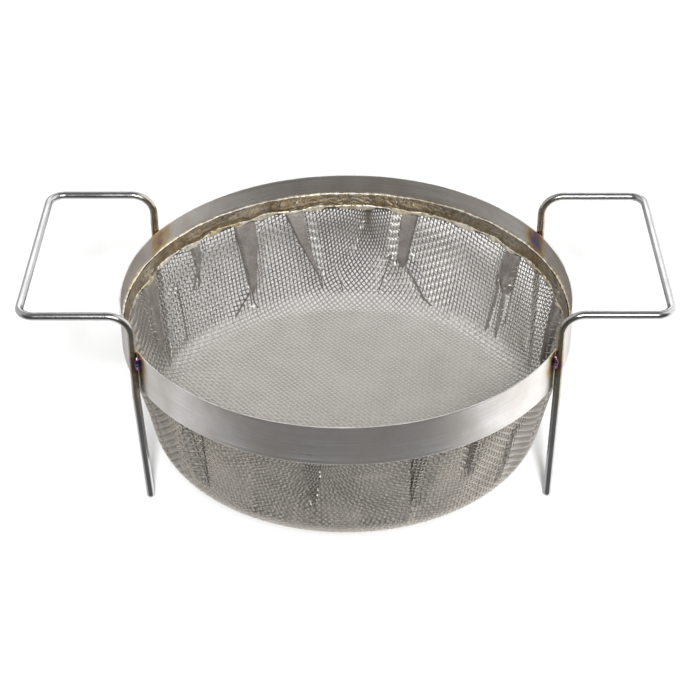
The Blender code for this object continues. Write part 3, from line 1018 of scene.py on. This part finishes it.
handleHeight = leftHigh[2] - post["rodRadius"]
leftEnd, rightEnd = leftLow[0] + post["rodRadius"], rightReach - post["rodRadius"]
makeRod("left_rod", -1, post["leftToeIn"], "left_handle_leg_rod", handleHeight, leftEnd)
makeRod("right_rod", 1, post["rightToeIn"], "right_handle_leg_rod", handleHeight, rightEnd)
print("rods ready")


weld = {
    "height": 0.0125,
    "width": 0.0030,
    "depth": 0.0027,
    "alongSteps": 40,
    "aroundSteps": 24,
}


def weldBlob(side, end, seed):
    # An upright oval drop in the corner between rod and hoop: every cross section is an ellipse whose
    # size follows the square root of 1 - t^2 along the drop, with small steps where the pool froze
    x, y = postPlace(side, end)
    turn = side * end
    t = np.linspace(-1, 1, weld["alongSteps"])
    around = turns(weld["aroundSteps"])[None, :]
    rng = np.random.default_rng(seed)
    swell = np.sqrt(np.clip(1 - t * t, 0.0004, 1)) * (1 + 0.05 * np.sin(t * 14 + rng.uniform(0, 6)))
    swell = (swell * (1 + 0.14 * t * rng.choice([-1, 1])))[:, None]
    across = post["rodRadius"] * 0.95 + weld["width"] * 0.5 * swell * (0.4 + np.cos(around))
    outward = hoopRadius + 0.0012 + weld["depth"] * swell * np.sin(around)
    outward = np.maximum(outward, hoopRadius - 0.0004)      # the drop's back stays inside the hoop's sheet
    heights = post["weldHeight"] + weld["height"] / 2 * t[:, None] + 0 * outward
    return roundAxis(outward, math.atan2(y, x) + turn * across / hoopRadius, heights)


def makeWeld(name, side, end, seed, node):
    drop = weldBlob(side, end, seed)
    along, across = np.linspace(0, weld["height"], weld["alongSteps"]), np.linspace(0, 0.015, 25)
    heat = weldHeat(drop, 0.02, {(side, end): 0.84})
    addGrid(name, drop, False, along, across, (weldMetal, "rod_weld", node), heat)


makeWeld("front_left_weld", -1, -1, 51, "weld_front_left")
makeWeld("back_left_weld", -1, 1, 52, "weld_back_left")
makeWeld("front_right_weld", 1, -1, 53, "weld_front_right")
makeWeld("back_right_weld", 1, 1, 54, "weld_back_right")
print("welds ready")


studio = {
    "floorSize": 6.0,
    "viewDown": 33.652,
    "cameraDistance": 1.3703,
    "cameraAside": 0.0096,
    "lens": 91.1,
    "shiftX": -0.0126,
    "shiftY": -0.0884,
    # brightness round the object, by direction
    "everywhere": 0.10,
    "right": 1.55,
    "left": 0.72,
    "above": 0.10,
    "behind": 0.08,
    "below": 0.07,
    "straightDown": 1.1,         # the bright floor as the outside of the cloth mirrors it
    "overRim": 2.6,              # a narrow one seen in the hoop's top edge
    "keyPower": 26,
    "floorSun": 5.4,             # lights the floor and dull surfaces, but doesn't show in the metal
}


def makeFloor():
    half = studio["floorSize"] / 2
    corners = np.array([(-half, -half, 0), (half, -half, 0), (half, half, 0), (-half, half, 0)])
    mesh = bpy.data.meshes.new("floor")
    mesh.from_pydata(corners, [], [(0, 1, 2, 3)])
    floor = bpy.data.objects.new("floor", mesh)
    bpy.context.scene.collection.objects.link(floor)
    material, tree, shader, place = startMaterial("floor paint", 0.0)
    noise = addNode(tree, "ShaderNodeTexNoise", Scale=40.0, Detail=4.0)
    tree.links.new(place.outputs["Object"], noise.inputs["Vector"])
    paint = mixColor(tree, noise.outputs[0], (0.56, 0.56, 0.56), (0.58, 0.58, 0.58))
    tree.links.new(paint, shader.inputs["Base Color"])
    shader.inputs["Roughness"].default_value = 0.8
    shader.inputs["Specular IOR Level"].default_value = 0.0
    mesh.materials.append(material)
    floor.visible_glossy = False


def addLight(name, kind, place, power, size, seenInMetal):
    # Aims at the object's middle: pitch from straight down, yaw round the upright axis
    light = bpy.data.lights.new(name, kind)
    light.energy = power
    if kind == "SUN":
        light.angle = size
    else:
        light.size = size
    lamp = bpy.data.objects.new(name, light)
    bpy.context.scene.collection.objects.link(lamp)
    lamp.location = place
    x, y, z = place
    lamp.rotation_euler = (math.atan2(math.hypot(x, y), z), 0, math.atan2(x, -y))
    lamp.visible_glossy = seenInMetal


def makeWorld():
    # Brightness by direction: an even level plus lobes, each a smooth step along an axis; the right and left
    # ones fade towards the front. The world is white where the camera sees it.
    world = bpy.data.worlds.new("studio")
    world.use_nodes = True
    tree = world.node_tree
    background = tree.nodes["Background"]
    parts = addNode(tree, "ShaderNodeSeparateXYZ")
    tree.links.new(addNode(tree, "ShaderNodeTexCoord").outputs["Generated"], parts.inputs[0])

    def lobe(axis, low, high, glow):
        node = addNode(tree, "ShaderNodeMapRange", interpolation_type="SMOOTHSTEP")
        tree.links.new(parts.outputs[axis], node.inputs[0])
        for k, number in enumerate((low, high, 0, glow)):
            node.inputs[k + 1].default_value = number
        return node.outputs[0]

    sides = mathNode(tree, "ADD", lobe(0, 0.15, 0.7, studio["right"]), lobe(0, -0.15, -0.7, studio["left"]))
    sides = mathNode(tree, "MULTIPLY", sides, lobe(1, -0.55, 0.0, 1))
    total = mathNode(tree, "ADD", sides, studio["everywhere"])
    total = mathNode(tree, "ADD", total, lobe(2, 0.1, 0.8, studio["above"]))
    total = mathNode(tree, "ADD", total, lobe(1, 0.1, 0.9, studio["behind"]))
    total = mathNode(tree, "ADD", total, lobe(2, -0.1, -0.6, studio["below"]))
    total = mathNode(tree, "ADD", total, lobe(2, -0.7, -0.95, studio["straightDown"]))
    overRim = mathNode(tree, "MULTIPLY", lobe(1, 0.68, 0.84, 1), lobe(2, 0.34, 0.52, studio["overRim"]))
    total = mathNode(tree, "ADD", total, overRim)
    seen = addNode(tree, "ShaderNodeLightPath").outputs["Is Camera Ray"]
    tree.links.new(mathNode(tree, "MAXIMUM", total, seen), background.inputs["Strength"])
    background.inputs["Color"].default_value = (1.0, 0.995, 0.985, 1)
    bpy.context.scene.world = world


def makeStudio():
    makeFloor()
    makeWorld()
    addLight("key", "AREA", (0.15, -1.6, 1.25), studio["keyPower"], 0.9, True)
    addLight("floor_light", "SUN", (0.1, -1.9, 1.6), studio["floorSun"], math.radians(9), False)
    bpy.context.scene.view_settings.view_transform = "Standard"


def makeCamera():
    down = math.radians(studio["viewDown"])
    data = bpy.data.cameras.new("camera")
    data.lens = studio["lens"]
    data.sensor_width = 36
    data.shift_x, data.shift_y = studio["shiftX"], studio["shiftY"]
    camera = bpy.data.objects.new("camera", data)
    bpy.context.scene.collection.objects.link(camera)
    distance = studio["cameraDistance"]
    camera.location = (studio["cameraAside"], -distance * math.cos(down), rimTop + distance * math.sin(down))
    camera.rotation_euler = (math.pi / 2 - down, 0, 0)
    bpy.context.scene.camera = camera


makeStudio()
makeCamera()
print("studio ready")

bpy.context.view_layer.update()
